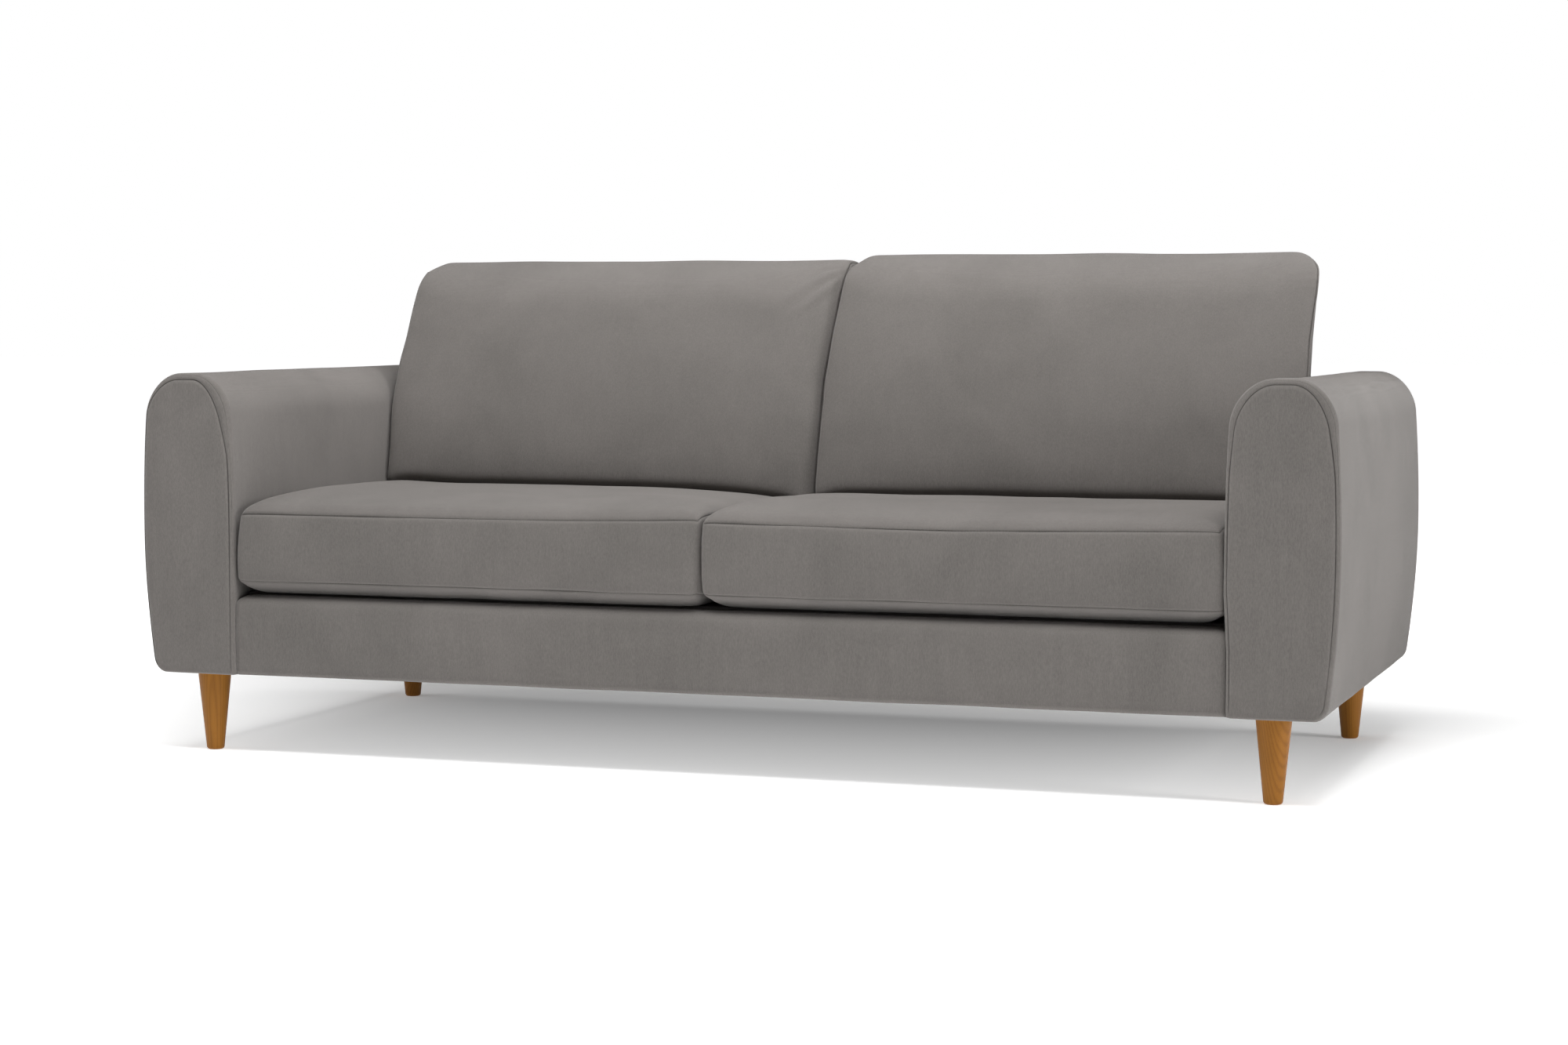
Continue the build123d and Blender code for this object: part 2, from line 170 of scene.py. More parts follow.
# The studs that hold the legs: plain zinc-plated steel, each welded to a square plate on the board
# inside the arm.
zinc_dull = (0.55, 0.56, 0.58)
zinc_bright = (0.70, 0.70, 0.70)
spangles_per_metre = 260.0
zinc, shade, place = new_finish("zinc_plated_steel")
spangle = shade.node(
    "ShaderNodeTexVoronoi", {}, {"Vector": place, "Scale": spangles_per_metre}, "Color"
)
scratches = stretched_noise(shade, place, (900, 60, 900), 2.0)
set_shader(zinc, {
    "Base Color": scratches.mix(zinc_dull, zinc_bright),
    "Metallic": 1.0,
    "Roughness": 0.30 + shade.node("ShaderNodeRGBToBW", {}, {0: spangle}) * 0.15,
})
dress("leg_studs", zinc)

# Elastic webbing: flat woven straps stretched across the seat box and the back and stapled to the
# timber. The weft shows as fine ribs across each strap.
strap_rib_pitch = 0.0032
strap_stripe_pitch = 0.030
strap_rib_depth = 0.0005
strap_dark = (0.020, 0.017, 0.015)
strap_light = (0.085, 0.070, 0.060)


def strap_weave(name, across):
    material, shade, place = new_finish(name)
    thread = shade.node("ShaderNodeSeparateXYZ", {}, {0: place}, across)
    ribs = shade.math("SINE", thread * (2 * math.pi / strap_rib_pitch)) * 0.5 + 0.5
    stripe = shade.math("SINE", thread * (2 * math.pi / strap_stripe_pitch)) * 0.5 + 0.5
    fluff = stretched_noise(shade, place, (400, 400, 400), 2.0)
    tone = ribs * 0.5 + stripe * 0.3 + fluff * 0.2
    set_shader(material, {
        "Base Color": tone.mix(strap_dark, strap_light),
        "Roughness": 0.75 + fluff * 0.2,
        "Normal": bump(shade, ribs, strap_rib_depth, 0.6),
    })
    return material


dress("seat_webbing", strap_weave("seat_strap_weave", "X"))
dress("back_webbing", strap_weave("back_strap_weave", "Z"))

# The legs: solid oak turned to a straight taper, with the foot edge rounded over and a satin
# lacquer. Each screws onto its stud until it meets the underside of the arm.
leg_top_radius = 0.029
leg_foot_radius = 0.015
leg_foot_round = 0.0045
leg_top_ease = 0.0012
leg_sides = 64
leg_ease_steps = 5
oak_pale = (0.290, 0.117, 0.011)
oak_dark = (0.158, 0.054, 0.003)
oak_tilt = (0.05, -0.11)
oak_heart_offset = 0.034
oak_ring_flatness = 0.75
oak_ring_pitch = 0.0041
oak_ring_wander = 0.011
oak_ring_sharpness = 2.2
oak_ring_weight = 0.32
oak_figure_weight = 0.60
oak_pore_range = (0.57, 0.72)
oak_pore_weight = 0.35
oak_pore_depth = 0.00035
oak_paleness = 0.12


def lacquered_oak(name, x, y, turn):
    """Straight-grained oak with arched growth lines on one side and short open pores."""
    material, shade, place = new_finish(name)
    spot = shade.node("ShaderNodeMapping", {"vector_type": "TEXTURE"}, {
        "Vector": place,
        "Location": (x, y, 0),
        "Rotation": (*oak_tilt, turn),
    })
    part = shade.node("ShaderNodeSeparateXYZ", {}, {0: spot}, "X")
    drift = stretched_noise(shade, spot, (26, 26, 5), 2.0)
    offside = part + oak_heart_offset
    depth = part.output("Y") * oak_ring_flatness
    reach = shade.math("SQRT", offside * offside + depth * depth)
    growth = reach + drift * oak_ring_wander
    line = shade.math("SINE", growth * (2 * math.pi / oak_ring_pitch)) * 0.5 + 0.5
    late_wood = shade.math("POWER", line, oak_ring_sharpness)
    pores = stretched_noise(shade, spot, (1500, 1500, 55), 2.0)
    closed, opened = oak_pore_range
    open_pores = shade.node("ShaderNodeMapRange", {}, {0: pores, 1: closed, 2: opened})
    figure = stretched_noise(shade, spot, (60, 60, 7), 3.0)
    tone = late_wood * oak_ring_weight + figure * oak_figure_weight
    tone = tone + open_pores * oak_pore_weight - oak_paleness
    set_shader(material, {
        "Base Color": tone.mix(oak_pale, oak_dark),
        "Roughness": 0.40 + figure * 0.12 + open_pores * 0.15,
        "Specular IOR Level": 0.18,
        "Coat Weight": 0.03,
        "Coat Roughness": 0.28,
        "Normal": bump(shade, line * 0.4 - open_pores, oak_pore_depth, 0.35),
    })
    return material


def new_piece(bm, name, material, body, nodes):
    """Makes a closed shape a smooth piece of the object that stands for CAD nodes."""
    bmesh.ops.recalc_face_normals(bm, faces=bm.faces)
    for face in bm.faces:
        face.smooth = True
    mesh = bpy.data.meshes.new(name)
    bm.to_mesh(mesh)
    bm.free()
    mesh.materials.append(material)
    piece = bpy.data.objects.new(name, mesh)
    bpy.context.scene.collection.objects.link(piece)
    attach(piece, body)
    if nodes:
        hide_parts(*nodes)
    return piece


def close_to(value, target):
    return abs(value - target) < 1e-5


leg_turns = {"front_left": 1.9, "front_right": -0.5, "rear_left": 3.9, "rear_right": 1.0}
for place_name, turn in leg_turns.items():
    node = f"leg_{place_name}"
    low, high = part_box(node)
    centre = (low + high) / 2
    bm = bmesh.new()
    outline = (
        (0, 0, 0),
        (leg_foot_radius, 0, 0),
        (leg_top_radius, 0, high.z),
        (0, 0, high.z),
    )
    corners = [bm.verts.new(corner) for corner in outline]
    half_profile = [bm.edges.new(pair) for pair in zip(corners, corners[1:])]
    bmesh.ops.spin(
        bm,
        geom=corners + half_profile,
        axis=(0, 0, 1),
        angle=2 * math.pi,
        steps=leg_sides,
        use_merge=True,
    )
    bmesh.ops.remove_doubles(bm, verts=bm.verts, dist=1e-6)
    bmesh.ops.recalc_face_normals(bm, faces=bm.faces)
    for level, radius, ease in (
        (0, leg_foot_radius, leg_foot_round),
        (high.z, leg_top_radius, leg_top_ease),
    ):
        rim = [
            e
            for e in bm.edges
            if all(close_to(v.co.z, level) and close_to(v.co.xy.length, radius) for v in e.verts)
        ]
        bmesh.ops.bevel(
            bm,
            geom=rim,
            offset=ease,
            segments=leg_ease_steps,
            profile=0.5,
            affect="EDGES",
            material=-1,
        )
    bmesh.ops.translate(bm, verts=bm.verts, vec=(centre.x, centre.y, 0))
    oak = lacquered_oak(f"oak_{place_name}", centre.x, centre.y, turn)
    new_piece(bm, f"turned_leg_{place_name}", oak, "frame", [node])

# The arms: each is a bulging arch of foam over boards, wrapped lengthways in one length of cloth
# and closed by a shaped panel sewn into its front and another into its rear.
cloth_light = (0.164, 0.151, 0.142)
cloth_deep = (0.097, 0.090, 0.084)
# the near-black grey of the painted shade in seam channels
painted_shade_grey = (0.030, 0.027, 0.025)
thread_pitch = 0.0015
nap_depth = 0.0006
streak_weight = 1.05
patch_weight = 0.85
fuzz_weight = 0.95
mark_weight = 0.30
weave_weight = 0.16
both_sides = (("left", -1), ("right", 1))
arm_crown = 0.072
arm_foot = 0.022
arm_inner_foot = 0.004
arm_tuck_top = 0.012
arm_tuck_foot = 0.020
arm_lean_top = 0.011
arm_bulge_rise = 0.262
arm_roll_depth = 0.0090
arm_front_swell = {"left": 0.0, "right": 0.0050}
# pairs such as these say where a change starts and where it is complete
arm_swell_forward = (-0.25, -0.40)
arm_swell_rise = (-0.60, -0.25)
arm_swell_lift = 0.8
arm_inset_inner = {"left": (0.0080, 0.0270), "right": (0.0060, 0.0120)}
arm_inset_outer = {"left": (0.0030, 0.0030), "right": (0.0080, 0.0180)}
arm_inset_top = {"left": 0.0110, "right": 0.0095}
arm_inset_foot = 0.0050
arm_inset_rise = (0.40, 0.95)
arm_topstitch_row = 3
arm_dome = 0.004
arm_grid = 0.0085
arm_row_crowding = 0.93
seam_steps = 4
seam_side_depth = 0.4
seam_side_shadow = 0.5
# seams have a width, a depth and a strength of painted shade in their channel, and ripples a
# length and a height
arm_seam = (0.0009, 0.0018, 0.6)
arm_topstitch = (0.0004, 0.0003, 0.15)
arm_ripple = (0.16, 0.0012)
arm_ripple_seed = {"left": 2, "right": 4}
arm_pucker_levels = (0.607, 0.632)
arm_pucker_width = 0.005
arm_pucker_height = 0.0008
arm_pucker_reach = (0.965, 0.990)
arm_pucker_facing = -0.8


def brushed_cloth(name):
    """Soft plain weave with a raised nap: fine threads, streaks along it and brushed patches."""
    material, shade, place = new_finish(name)
    geometry = shade.node("ShaderNodeNewGeometry", {}, {}, "Normal")
    facing = shade.node("ShaderNodeSeparateXYZ", {}, {0: geometry}, "X")
    across, depth, level = (shade.math("ABSOLUTE", facing.output(axis)) for axis in "XYZ")
    spot = shade.node("ShaderNodeSeparateXYZ", {}, {0: place}, "X")
    warp_x, warp_y, warp_z = (
        shade.math("SINE", spot.output(axis) * (2 * math.pi / thread_pitch)) for axis in "XYZ"
    )
    weave = across * warp_y * warp_z + depth * warp_x * warp_z + level * warp_x * warp_y
    hanging = stretched_noise(shade, place, (560, 560, 170), 2.0)
    lying = stretched_noise(shade, place, (560, 170, 560), 2.0)
    streaks = hanging + (lying - hanging) * level
    patches = shade.node(
        "ShaderNodeTexNoise",
        {},
        {"Vector": place, "Scale": 4.5, "Detail": 4.0, "Roughness": 0.55, "Distortion": 0.8},
    )
    fuzz = stretched_noise(shade, place, (2300, 2300, 2300), 1.0)
    hanging_marks = stretched_noise(shade, place, (95, 95, 11), 3.0)
    lying_marks = stretched_noise(shade, place, (95, 11, 95), 3.0)
    marks = hanging_marks + (lying_marks - hanging_marks) * level
    tone = 0.5 + (streaks - 0.5) * streak_weight + (patches - 0.5) * patch_weight
    tone = tone + (fuzz - 0.5) * fuzz_weight + (marks - 0.5) * mark_weight + weave * weave_weight
    # painted shade: where a seam's channel is marked, the cloth colour is darkened towards a
    # near-black grey
    sewn = shade.node("ShaderNodeAttribute", {"attribute_name": "sewn"}, {}, "Fac")
    set_shader(material, {
        "Base Color": sewn.mix(tone.mix(cloth_deep, cloth_light), painted_shade_grey),
        "Roughness": 0.80 + streaks * 0.18,
        "Specular IOR Level": 0.22,
        "Sheen Weight": 0.22,
        "Sheen Roughness": 0.45,
        "Sheen Tint": (0.95, 0.92, 0.90, 1),
        "Normal": bump(shade, weave * 0.35 + streaks * 0.5 + fuzz * 0.6, nap_depth, 0.55),
    })
    return material


def grid_block(counts):
    """A block from -1 to 1 each way, its faces divided into that many cells along X, Y and Z."""
    bm = bmesh.new()
    bmesh.ops.create_cube(bm, size=2)
    for axis, cells in enumerate(counts):
        along = [e for e in bm.edges if abs(e.verts[0].co[axis] - e.verts[1].co[axis]) > 1]
        bmesh.ops.subdivide_edges(bm, edges=along, cuts=cells - 1, use_grid_fill=True)
    return bm


def ease_corner(a, b, radius):
    """Slides a point near a square corner onto a round one; a and b are its gaps to the edges."""
    a, b = radius - a, radius - b
    if a > 0 and b > 0:
        reach = max(a, b)
        turn = math.pi / 4 * min(a, b) / reach
        if b > a:
            turn = math.pi / 2 - turn
        a, b = reach * math.cos(turn), reach * math.sin(turn)
    return radius - a, radius - b


def on_rim(edge, axis):
    """Whether an edge of a grid block runs round the rim of its face at either end of an axis."""
    a, b = (v.co for v in edge.verts)
    along_side = [close_to(abs(a[i]), 1) and close_to(a[i], b[i]) for i in range(3)]
    return along_side[axis] and sum(along_side) > 1


def sink_seam(bm, edges, width, depth, shadow):
    """Sinks a seam along edges: both sides roll into a channel with painted shade. Returns its
    verts.
    """
    sewn = bm.verts.layers.float.get("sewn") or bm.verts.layers.float.new("sewn")
    made = bmesh.ops.bevel(
        bm,
        geom=edges,
        offset=width,
        segments=seam_steps,
        profile=0.5,
        affect="EDGES",
        material=-1,
    )
    strip = set(made["faces"])
    bm.normal_update()
    inside = {v for v in made["verts"] if all(f in strip for f in v.link_faces)}
    middle = [v for v in inside if all(e.other_vert(v) in inside for e in v.link_edges)]
    normals = {v: v.normal.copy() for v in inside}
    line = set(middle)
    # painted shade: the verts of the channel are marked for darkening, fully along its middle and
    # less beside it
    for v in inside:
        v.co -= normals[v] * depth * (1.0 if v in line else seam_side_depth)
        v[sewn] = shadow * (1.0 if v in line else seam_side_shadow)
    return middle


def ripple(point, seed, size, height):
    """Slow unevenness of stuffed cloth: a height at a point, the same on every run."""
    return height * noise.noise(point / size + Vector((seed, 2.3 * seed, -1.7 * seed)))


def make_uneven(bm, seed, size, height):
    """Lifts and sinks a covered shape by a ripple."""
    bm.normal_update()
    for v in bm.verts:
        v.co += v.normal * ripple(v.co, seed, size, height)


def ramp(value, start, end):
    """Rises evenly from 0 to 1 between two values."""
    return max(0.0, min(1.0, (value - start) / (end - start)))


def arm_section(across, up, width, height):
    """The arched section: distance from the inner face and height above the foot."""
    a = across * width
    z = up * height
    a, top = ease_corner(a, height - z, arm_crown)
    outer, top = ease_corner(width - a, top, arm_crown)
    a, z = width - outer, height - top
    a, z = ease_corner(a, z, arm_inner_foot)
    outer, z = ease_corner(width - a, z, arm_foot)
    a = width - outer
    rise = (z - arm_bulge_rise) / (height - arm_bulge_rise)
    tuck = (arm_tuck_top if rise > 0 else arm_tuck_foot) * rise * rise
    lean = arm_lean_top * rise * rise if rise > 0 else 0.0
    return lean + a * (1 - (tuck + lean) / width), z


grey_cloth = brushed_cloth("brushed_grey_cloth")

for side, sign in both_sides:
    low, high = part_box(f"arm_cover_{side}")
    width, depth, height = high - low
    rows = round(depth / arm_grid)
    bm = grid_block((round(width / arm_grid), rows, round(height / arm_grid)))
    row = 1 - 2 * arm_topstitch_row / rows
    topstitch = [
        e
        for e in bm.edges
        if all(close_to(abs(v.co.y), row) for v in e.verts)
        and close_to(e.verts[0].co.y, e.verts[1].co.y)
    ]
    seam = [
        e
        for e in bm.edges
        if on_rim(e, 1) and not all(close_to(v.co.z, -1) for v in e.verts)
    ]
    inner = high.x if sign < 0 else low.x
    for v in bm.verts:
        across, along, up = v.co
        back = (along + 1) / 2
        back -= arm_row_crowding * math.sin(2 * math.pi * back) / (2 * math.pi)
        turn = max(0.0, 1 - min(back, 1 - back) * depth / arm_roll_depth)
        inset = 1 - math.sqrt(1 - turn * turn)
        reach, z = arm_section((across + 1) / 2, (up + 1) / 2, width, height)
        outward, upward = 2 * reach / width - 1, 2 * z / height - 1
        # the arch of the sewn panel is more pointed than the roll around it
        low_inset, top_inset = (arm_inset_outer if outward > 0 else arm_inset_inner)[side]
        part = ramp(upward, *arm_inset_rise)
        narrowed = low_inset + (top_inset - low_inset) * part * part * (3 - 2 * part)
        reach -= inset * narrowed * outward
        z -= inset * (arm_inset_top[side] if upward > 0 else arm_inset_foot) * upward
        y = low.y + back * depth
        # the padding stands a little proud of the frame where the front panel is sewn in
        swell = ramp(y, *arm_swell_forward) * ramp(upward, *arm_swell_rise)
        swell *= arm_front_swell[side]
        reach += swell * min(0.0, outward)
        z += arm_swell_lift * swell * max(0.0, upward) ** 2
        if close_to(abs(along), 1):
            y += along * arm_dome * (1 - across ** 4) * (1 - up ** 4)
        v.co = (inner + sign * reach, y, low.z + z)
    bmesh.ops.recalc_face_normals(bm, faces=bm.faces)
    sink_seam(bm, seam, *arm_seam)
    sink_seam(bm, topstitch, *arm_topstitch)
    make_uneven(bm, arm_ripple_seed[side], *arm_ripple)
    if side == "left":
        # two small puckers across the front panel, near its top
        for v in bm.verts:
            if v.normal.y < arm_pucker_facing:
                for level in arm_pucker_levels:
                    near = math.exp(-(((v.co.z - level) / arm_pucker_width) ** 2))
                    v.co.y += arm_pucker_height * near * ramp(-v.co.x, *arm_pucker_reach)
    arm = new_piece(
        bm,
        f"upholstered_arm_{side}",
        grey_cloth,
        "frame",
        [f"arm_cover_{side}", f"arm_front_panel_{side}", f"arm_padding_{side}"],
    )

# The front rail: a strip of foam glued over the timber and covered in the same cloth, rolled over
# the top edge and pulled under the seat box.
rail_roll = 0.020
rail_end_round = 0.014
rail_foot_round = 0.005
rail_swell = 0.003
rail_grid = 0.0085
rail_ripple_seed = 8
rail_ripple = (0.14, 0.0010)
low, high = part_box("front_rail_cover")
width, depth, height = high - low
bm = grid_block([round(size / rail_grid) for size in (width, depth, height)])
for v in bm.verts:
    across, along, up = v.co
    back = (along + 1) / 2 * depth
    top = (1 - up) / 2 * height
    end = (1 - abs(across)) * width / 2
    back, top = ease_corner(back, top, rail_roll)
    back, bottom = ease_corner(back, height - top, rail_foot_round)
    end, top = ease_corner(end, height - bottom, rail_end_round)
    swell = rail_swell * (1 - along) / 2 * math.sin(math.pi * ramp(top, 0, height)) ** 0.5
    v.co = (
        math.copysign(width / 2 - end, across),
        low.y + back - swell,
        high.z - top,
    )
make_uneven(bm, rail_ripple_seed, *rail_ripple)
rail = new_piece(
    bm,
    "upholstered_front_rail",
    grey_cloth,
    "frame",
    ["front_rail_cover", "front_rail_pad"],
)

# The deck: a thin foam pad over the webbing under plain platform cloth, which the seat cushions
# rest on.
deck_cells = (72, 34, 2)
deck_sag = 0.004
deck_sag_steepness = 6


def in_box(low, high, spot):
    """The point of a box that a spot of a grid block stands for."""
    return Vector([(a + b) / 2 + s * (b - a) / 2 for a, b, s in zip(low, high, spot)])


low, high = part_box("deck_pad")
high = Vector((high.x, high.y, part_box("deck_cover")[1].z))
width, depth, _ = high - low
bm = grid_block(deck_cells)
for v in bm.verts:
    across, along, up = v.co
    edge = min(1 - abs(across), (1 - abs(along)) * depth / width)
    sag = deck_sag * min(1, edge * deck_sag_steepness) * (up + 1) / 2
    v.co = in_box(low, high, v.co) - Vector((0, 0, sag))
deck = new_piece(
    bm, "platform_deck", grey_cloth, "frame", ["deck_cover", "deck_pad"]
)

# The dust cover: a black spun cloth that closes the seat box from below. It is stretched flat and
# stapled to the undersides of the rails all round.
dust_cells = (72, 36, 1)
dust_black = (0.008, 0.008, 0.008)
dust_grey = (0.030, 0.029, 0.028)
dust_fibre_depth = 0.0004
spun_cloth, shade, place = new_finish("black_spun_cloth")
fibres = stretched_noise(shade, place, (700, 900, 700), 4.0)
set_shader(spun_cloth, {
    "Base Color": fibres.mix(dust_black, dust_grey),
    "Roughness": 0.85 + fibres * 0.12,
    "Normal": bump(shade, fibres, dust_fibre_depth, 0.6),
})
low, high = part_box("dust_cover")
width, depth, _ = high - low
bm = grid_block(dust_cells)
for v in bm.verts:
    v.co = in_box(low, high, v.co)
dust = new_piece(bm, "dust_cloth", spun_cloth, "frame", ["dust_cover"])

# The back: a padded wedge between the arms. Its inside cover runs up the front, over the top and
# round the ends, and a plain panel is slip-stitched over the rear.
back_lean = math.tan(math.radians(5.7))
back_taper = 0.024
back_taper_rise = 0.06
back_round = 0.018
back_rear_round = 0.012
back_end_round = 0.020
back_end_front_round = 0.010
back_grid = 0.012
back_ripple_seed = 11
back_ripple = (0.18, 0.0012)
panel_top_round = 0.022
panel_foot_round = 0.006
panel_drop = 0.006
panel_trim = 0.008
panel_end_trim = 0.004
panel_front = -0.002
panel_rear = 0.0005
panel_puff = 0.0030
panel_puff_reach = 0.012
panel_ripple_seed = 15
panel_ripple = (0.20, 0.0010)
low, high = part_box("inside_back_cover")
outside_low, outside_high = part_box("outside_back_cover")
arm_low, arm_top = (corner.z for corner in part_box("arm_cover_right"))


def end_taper(z):
    """How far the ends of the back draw in at a height, once they rise above the arms."""
    return back_taper * ramp(z, arm_top - back_taper_rise, arm_top)


width, depth, height = high - low
bm = grid_block([round(size / back_grid) for size in (width, depth, height)])
for v in bm.verts:
    across, along, up = v.co
    back = (along + 1) / 2 * depth
    top = (1 - up) / 2 * height
    end = (1 - abs(across)) * width / 2
    back, top = ease_corner(back, top, back_round)
    rear, top = ease_corner(depth - back, top, back_rear_round)
    back = depth - rear
    end, top = ease_corner(end, top, back_end_round)
    end, front = ease_corner(end, back, back_end_front_round)
    z = high.z - top
    lean = (z - low.z) * back_lean
    v.co = (
        math.copysign(width / 2 - end - end_taper(z) * abs(across), across),
        low.y + lean + front * (depth - lean) / depth,
        z,
    )
make_uneven(bm, back_ripple_seed, *back_ripple)
inside_back = new_piece(
    bm,
    "upholstered_back",
    grey_cloth,
    "frame",
    ["inside_back_cover", "back_padding"],
)

# the plain panel over the rear, a little puffed inside its sewn edge
width, _, height = outside_high - outside_low
bm = grid_block([round(width / back_grid), 2, round(height / back_grid)])
for v in bm.verts:
    across, along, up = v.co
    top = (1 - up) / 2 * height
    end = (1 - abs(across)) * width / 2
    end, top = ease_corner(end, top, panel_top_round)
    end, bottom = ease_corner(end, height - top, panel_foot_round)
    top = height - bottom
    z = outside_high.z - panel_drop - top * (height - panel_trim) / height
    taper = (end_taper(z) + panel_end_trim) * abs(across)
    y = outside_high.y + panel_front
    if along > 0:
        puff = panel_puff * min(1.0, min(end, top, bottom) / panel_puff_reach) ** 0.5
        y = outside_high.y + panel_rear + puff
    v.co = (math.copysign(width / 2 - end - taper, across), y, z)
make_uneven(bm, panel_ripple_seed, *panel_ripple)
outside_back = new_piece(
    bm, "outside_back_panel", grey_cloth, "frame", ["outside_back_cover"]
)

# The seat cushions: foam wrapped in wadding inside a boxed cover. A straight border joins the top
# and bottom panels, both seams are top-stitched, and the filling lifts the top into a crown.
cushion_grid = 0.012
cushion_pressure = 3.0
cushion_swell_frames = 20
cushion_smoothing_passes = 6
cushion_gap = 0.0006
seat_corner = {"left": (0.010, 0.026), "right": (0.012, 0.012)}
seat_corner_fall = (0.95, 0.30)
seat_corner_at_arm = {"left": 0.010, "right": 0.007}
seat_border_low = 0.0220
seat_border_high = 0.1390
seat_border_swell = 0.004
seat_side_bow = 0.012
seat_crown = 0.015
seat_lip = 0.006
seat_lip_reach = 0.030
seat_crown_fullness = {"left": (24, 10), "right": (7, 28)}
seat_crown_roll = 0.36
seat_under_roll = {"left": 0.070, "right": 0.100}
seat_under_roll_inner = 0.028
seat_under_roll_outer = {"left": 0.028, "right": 0.060}
seat_pressed = {"left": 0.011, "right": 0.016}
seat_pressed_depth = (-0.25, 0.15)
seat_dent = 0.008
seat_dent_depth = (0.128, 0.160)
seat_droop = {"left": 0.020, "right": 0.0}
seat_droop_depth = (-0.40, 0.05)
seat_inner_rise = {"left": 0.008, "right": 0.004}
seat_outer_rise = {"left": 0.0, "right": 0.0085}
seat_rise_depth = (-0.10, -0.45)
seat_end_drawn = {"left": 0.003, "right": 0.0035}
seat_end_lean = 0.003
seat_reach = {"left": 0.8674, "right": 0.8622}
seat_meeting = -0.005
seat_swell_limit = 0.006
seat_seam = (0.0011, 0.0016, 0.42)
seat_ripple = (0.13, 0.0016)
seat_ripple_seed = {"left": 20, "right": 22}
stitch_pitch = 0.0053
stitch_length = 0.0038
stitch_radius = 0.00045
stitch_lift = 0.0010
stitch_sides = 6
stitch_profile = ((-1.0, 0.30), (-0.72, 0.90), (0.0, 1.0), (0.72, 0.90), (1.0, 0.30))
thread_dark = (0.050, 0.045, 0.042)
thread_light = (0.150, 0.138, 0.130)


def inflate(piece, pressure, frames, limit):
    """Lets a cover swell under the pressure of its filling, no point of it further than limit."""
    start = [(v.co.copy(), v.normal.copy()) for v in piece.data.vertices]
    cloth = piece.modifiers.new("swelling", "CLOTH")
    settings = cloth.settings
    settings.quality = 4
    settings.mass = 0.3
    settings.tension_stiffness = 25
    settings.compression_stiffness = 25
    settings.shear_stiffness = 15
    settings.bending_stiffness = 2.0
    settings.use_pressure = True
    settings.uniform_pressure_force = pressure
    settings.effector_weights.gravity = 0
    cloth.collision_settings.use_collision = False
    cloth.point_cache.frame_start = 1
    cloth.point_cache.frame_end = frames
    for number in range(1, frames + 1):
        bpy.context.scene.frame_set(number)
    swollen = piece.evaluated_get(bpy.context.evaluated_depsgraph_get()).data
    lifts = [
        max(0.0, min(limit, outward.dot(point.co - rest)))
        for point, (rest, outward) in zip(swollen.vertices, start)
    ]
    beside = [[i] for i in range(len(start))]
    for edge in piece.data.edges:
        a, b = edge.vertices
        beside[a].append(b)
        beside[b].append(a)
    for _ in range(cushion_smoothing_passes):
        lifts = [sum(lifts[i] for i in near) / len(near) for near in beside]
    for v, (rest, outward), lift in zip(piece.data.vertices, start, lifts):
        v.co = rest + outward * lift
    piece.modifiers.remove(cloth)
    bpy.context.scene.frame_set(1)


def refine(bm, name, pressure, limit):
    """Swells a cushion's grid as cloth, then divides it once into a smooth finer mesh."""
    mesh = bpy.data.meshes.new(name)
    bm.to_mesh(mesh)
    bm.free()
    rough = bpy.data.objects.new(name, mesh)
    bpy.context.scene.collection.objects.link(rough)
    inflate(rough, pressure, cushion_swell_frames, limit)
    finer = rough.modifiers.new("finer", "SUBSURF")
    finer.levels = finer.render_levels = 1
    smooth = rough.evaluated_get(bpy.context.evaluated_depsgraph_get())
    bm = bmesh.new()
    bm.from_mesh(smooth.to_mesh())
    smooth.to_mesh_clear()
    bpy.data.objects.remove(rough)
    bpy.data.meshes.remove(mesh)
    return bm


def spun_thread(name):
    material, shade, place = new_finish(name)
    twist = stretched_noise(shade, place, (2600, 2600, 2600), 2.0)
    set_shader(material, {
        "Base Color": twist.mix(thread_dark, thread_light),
        "Roughness": 0.55 + twist * 0.3,
    })
    return material


def seam_runs(line):
    """Puts the verts along sunk seams in order, one list for each closed run."""
    waiting = dict.fromkeys(sorted(line, key=lambda v: v.index))
    runs = []
    while waiting:
        v = next(iter(waiting))
        run = []
        while v:
            run.append(v)
            del waiting[v]
            beside = sorted((e.other_vert(v) for e in v.link_edges), key=lambda n: n.index)
            v = next((n for n in beside if n in waiting), None)
        runs.append(run)
    return runs


def sew(line):
    """Lays a row of short stitches along sunk seams, as a shape of its own."""
    stitches = bmesh.new()
    turns = [2 * math.pi * i / stitch_sides for i in range(stitch_sides)]
    for run in seam_runs(line):
        points = [v.co + v.normal * stitch_lift for v in run]
        normals = [v.normal.copy() for v in run]
        travelled = 0.0
        due = stitch_pitch / 2
        for a, b, normal in zip(points, points[1:] + points[:1], normals):
            step = (b - a).length
            while travelled + step > due:
                along = (b - a) / step
                centre = a + along * (due - travelled)
                aside = along.cross(normal).normalized()
                rings = [
                    [
                        stitches.verts.new(
                            centre
                            + along * (t * stitch_length / 2)
                            + (aside * math.cos(turn) + normal * math.sin(turn))
                            * (size * stitch_radius)
                        )
                        for turn in turns
                    ]
                    for t, size in stitch_profile
                ]
                for low_ring, high_ring in zip(rings, rings[1:]):
                    for i in range(stitch_sides):
                        j = (i + 1) % stitch_sides
                        stitches.faces.new((low_ring[i], low_ring[j], high_ring[j], high_ring[i]))
                stitches.faces.new(rings[0])
                stitches.faces.new(rings[-1])
                due += stitch_pitch
            travelled += step
    return stitches


